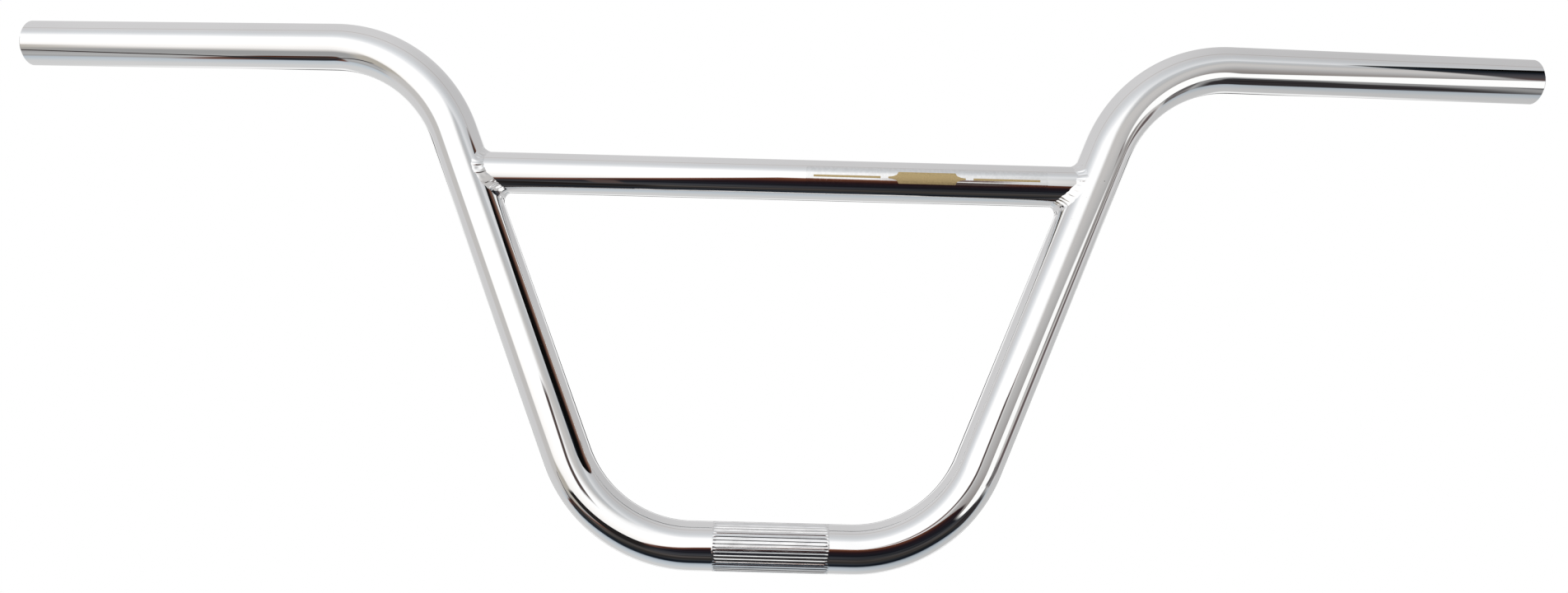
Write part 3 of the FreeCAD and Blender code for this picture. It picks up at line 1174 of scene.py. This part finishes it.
def mat_cloth(tree, slope, from_left, behind):
    """The mat's colours from its far front to under the bar."""
    cloth = add_ramp(
        tree,
        remap(tree, behind, (-1.1, 0.06), (0.0, 1.0), "LINEAR"),
        [
            (0.0, (0.016, 0.008, 0.010)),
            (0.48, (0.010, 0.011, 0.015)),
            (0.65, (0.035, 0.036, 0.040)),
            (0.75, (0.055, 0.048, 0.044)),
            (0.81, (0.040, 0.038, 0.037)),
            (0.87, (0.014, 0.018, 0.024)),
            (0.92, (0.010, 0.014, 0.022)),
            (0.955, (0.26, 0.31, 0.36)),
            (1.0, (0.42, 0.49, 0.55)),
        ],
    )
    brown = add_ramp(
        tree,
        remap(tree, slope, (0.0, 0.30), (0.0, 1.0), "LINEAR"),
        [
            (0.0, (0.30, 0.13, 0.08)),
            (0.2, (0.16, 0.060, 0.035)),
            (0.5, (0.075, 0.026, 0.016)),
            (1.0, (0.016, 0.008, 0.010)),
        ],
    )
    cloth = mix_colours(tree, fade_out(tree, slope, 0.20, 0.34), cloth, brown)
    fringe = fade_out(tree, from_left, -0.10, 0.02)
    return mix_colours(tree, fringe, cloth, (0.17, 0.07, 0.045, 1.0))


def mat_line(tree, x, y):
    """A black line that slants in from the left and ends broader."""
    climb = calculate(tree, "SUBTRACT", y, calculate(tree, "MULTIPLY", x, 0.55))
    thin = overlap(
        tree, soft_band(tree, x, -1.15, -0.55, 0.04), soft_band(tree, climb, 0.268, 0.312, 0.01)
    )
    broad = overlap(
        tree, soft_band(tree, x, -0.70, -0.53, 0.03), soft_band(tree, climb, 0.268, 0.355, 0.012)
    )
    return either(tree, thin, broad)


def mat_under_grip(tree, x, y):
    """A dark end that lies under the right grip."""
    return overlap(
        tree,
        fade_in(tree, x, 0.45, 0.55),
        fade_out(tree, x, 0.80, 1.00),
        soft_band(tree, y, -0.20, 0.085, 0.03),
    )


def light_world(scene, studio):
    """White to the camera, plain fill light to matt pieces, the studio to the plate."""
    world = bpy.data.worlds.new("studio")
    world.use_nodes = True
    scene.world = world
    tree = world.node_tree
    tree.nodes.clear()
    rays = add_node(tree, "ShaderNodeLightPath")
    mirrored_studio = studio_walls(tree)
    fill = (studio.fill, studio.fill, studio.fill, 1.0)
    seen = mix_colours(tree, rays.outputs["Is Glossy Ray"], fill, mirrored_studio)
    seen = mix_colours(tree, rays.outputs["Is Camera Ray"], seen, (1.0, 1.0, 1.0, 1.0))
    background = add_node(tree, "ShaderNodeBackground", {"Color": seen, "Strength": 1.0})
    output = add_node(tree, "ShaderNodeOutputWorld")
    tree.links.new(background.outputs["Background"], output.inputs["Surface"])
    scene.view_settings.view_transform = "Standard"


# Operators.


class HANDLEBAR_OT_stage(bpy.types.Operator):
    """Set the camera, the floor, the lamps and the surrounding light"""

    bl_idname = "handlebar.stage"
    bl_label = "Stage"

    def execute(self, context):
        studio = context.scene.handlebar_studio
        place_camera(context.scene, studio)
        lay_floor(context.scene, studio)
        lay_mat(context.scene, studio)
        hang_side_flag(context.scene)
        hang_strips(context.scene)
        lay_tape(context.scene)
        hang_lamps(context.scene)
        light_world(context.scene, studio)
        return {"FINISHED"}


class HANDLEBAR_OT_main_tube(bpy.types.Operator):
    """Build the bent tube with its knurled clamp and open ends"""

    bl_idname = "handlebar.main_tube"
    bl_label = "Main Tube"

    def execute(self, context):
        build_main_tube(context.scene.handlebar_sizes, context.scene.handlebar_finish)
        return {"FINISHED"}


class HANDLEBAR_OT_crossbar(bpy.types.Operator):
    """Build the crossbar between the legs"""

    bl_idname = "handlebar.crossbar"
    bl_label = "Crossbar"

    def execute(self, context):
        build_crossbar(context.scene.handlebar_sizes, context.scene.handlebar_finish)
        return {"FINISHED"}


class HANDLEBAR_OT_weld_beads(bpy.types.Operator):
    """Build the two weld beads that hold the crossbar"""

    bl_idname = "handlebar.weld_beads"
    bl_label = "Weld Beads"

    def execute(self, context):
        build_weld_beads(context.scene.handlebar_sizes, context.scene.handlebar_finish)
        return {"FINISHED"}


class HANDLEBAR_OT_label(bpy.types.Operator):
    """Build the label film on the crossbar and its print"""

    bl_idname = "handlebar.label"
    bl_label = "Label"

    def execute(self, context):
        build_label(context.scene.handlebar_sizes, context.scene.handlebar_finish)
        return {"FINISHED"}


class HANDLEBAR_PT_panel(bpy.types.Panel):
    """Lists the handlebar's sizes, finishes and pieces"""

    bl_idname = "HANDLEBAR_PT_panel"
    bl_label = "Handlebar"
    bl_space_type = "VIEW_3D"
    bl_region_type = "UI"
    bl_category = "Handlebar"

    def draw(self, context):
        for operator in OPERATORS:
            self.layout.operator(operator.bl_idname)
        for group in ("handlebar_sizes", "handlebar_finish", "handlebar_studio"):
            box = self.layout.box()
            settings = getattr(context.scene, group)
            for name in settings.__annotations__:
                box.prop(settings, name)


GROUPS = (HandlebarSizes, HandlebarFinish, HandlebarStudio)
OPERATORS = (
    HANDLEBAR_OT_stage,
    HANDLEBAR_OT_main_tube,
    HANDLEBAR_OT_crossbar,
    HANDLEBAR_OT_weld_beads,
    HANDLEBAR_OT_label,
)


def register():
    for item in (*GROUPS, *OPERATORS, HANDLEBAR_PT_panel):
        bpy.utils.register_class(item)
    bpy.types.Scene.handlebar_sizes = PointerProperty(type=HandlebarSizes)
    bpy.types.Scene.handlebar_finish = PointerProperty(type=HandlebarFinish)
    bpy.types.Scene.handlebar_studio = PointerProperty(type=HandlebarStudio)


def unregister():
    del bpy.types.Scene.handlebar_studio
    del bpy.types.Scene.handlebar_finish
    del bpy.types.Scene.handlebar_sizes
    for item in reversed((*GROUPS, *OPERATORS, HANDLEBAR_PT_panel)):
        bpy.utils.unregister_class(item)


def main():
    register()
    bpy.ops.handlebar.stage()
    bpy.ops.handlebar.main_tube()
    bpy.ops.handlebar.crossbar()
    bpy.ops.handlebar.weld_beads()
    bpy.ops.handlebar.label()


if __name__ == "__main__":
    main()
